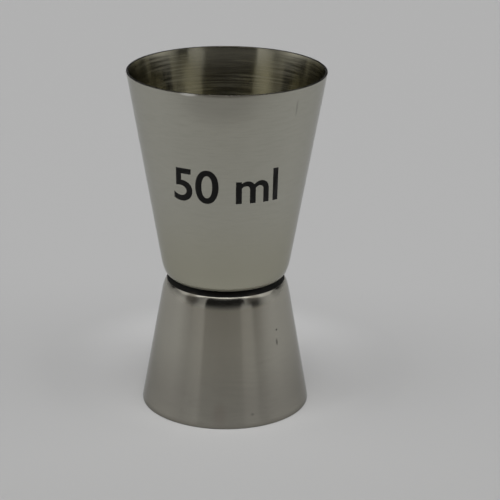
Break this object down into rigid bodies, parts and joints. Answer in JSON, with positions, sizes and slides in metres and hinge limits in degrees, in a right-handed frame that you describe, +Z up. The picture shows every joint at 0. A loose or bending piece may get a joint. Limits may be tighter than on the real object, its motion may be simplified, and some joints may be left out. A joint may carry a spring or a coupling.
{
  "type": "bar jigger",
  "caption": "Hourglass bar jigger: a large tapered steel measuring cup spot-welded base to base to a smaller upturned cup that is also its foot.",
  "frame": {"origin": "on the common axis of the cups, in the plane of the small cup's rim, which the jigger stands on", "axes": "+Z up along the common axis, from the small cup's rim to the large cup's brim; X and Y are any two directions across it"},
  "size_m": [0.0454, 0.0454, 0.08],
  "materials": {
    "satin_steel": "stainless steel, satin polished outside, coarse turned brush lines round the inside",
    "polished_steel": "stainless steel, buffed to a soft mirror outside, turned brush lines round the inside",
    "weld_steel": "fused stainless steel of the spot welds, sealed between the two bases"
  },
  "bodies": {
    "root": {"large_cup": "satin_steel", "small_cup": "polished_steel", "spot_welds": "weld_steel"}
  },
  "joints": []
}
